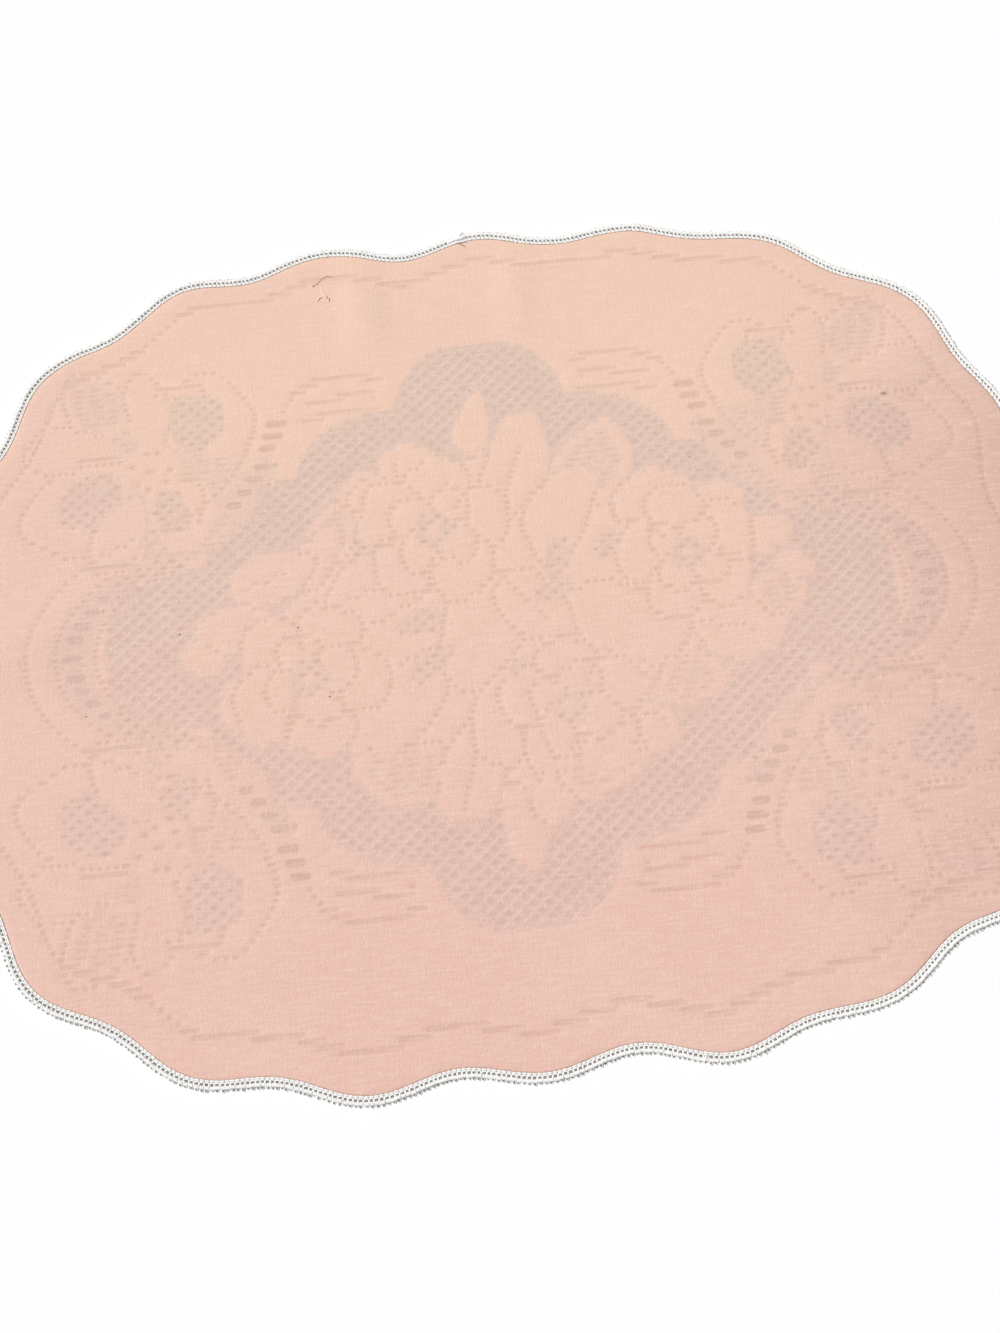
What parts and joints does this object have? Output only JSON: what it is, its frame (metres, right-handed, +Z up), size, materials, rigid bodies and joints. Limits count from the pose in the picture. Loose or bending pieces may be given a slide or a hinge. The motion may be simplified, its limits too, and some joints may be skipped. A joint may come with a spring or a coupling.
{
  "type": "lace placemat",
  "caption": "Oval lace placemat in peach with a scalloped edge, flower and scroll openwork and a white picot edging, lying flat.",
  "frame": {"origin": "on the surface the mat lies on, under the middle of the mat", "axes": "+X along the long way of the mat, +Y towards its back edge, +Z up"},
  "size_m": [0.457, 0.3607, 0.0024],
  "materials": {
    "peach_lace": "matt brushed knitted lace",
    "white_thread": "soft spun thread with a slight sheen"
  },
  "bodies": {
    "root": {"lace_cloth": "peach_lace", "picot_edging": "white_thread"}
  },
  "joints": []
}
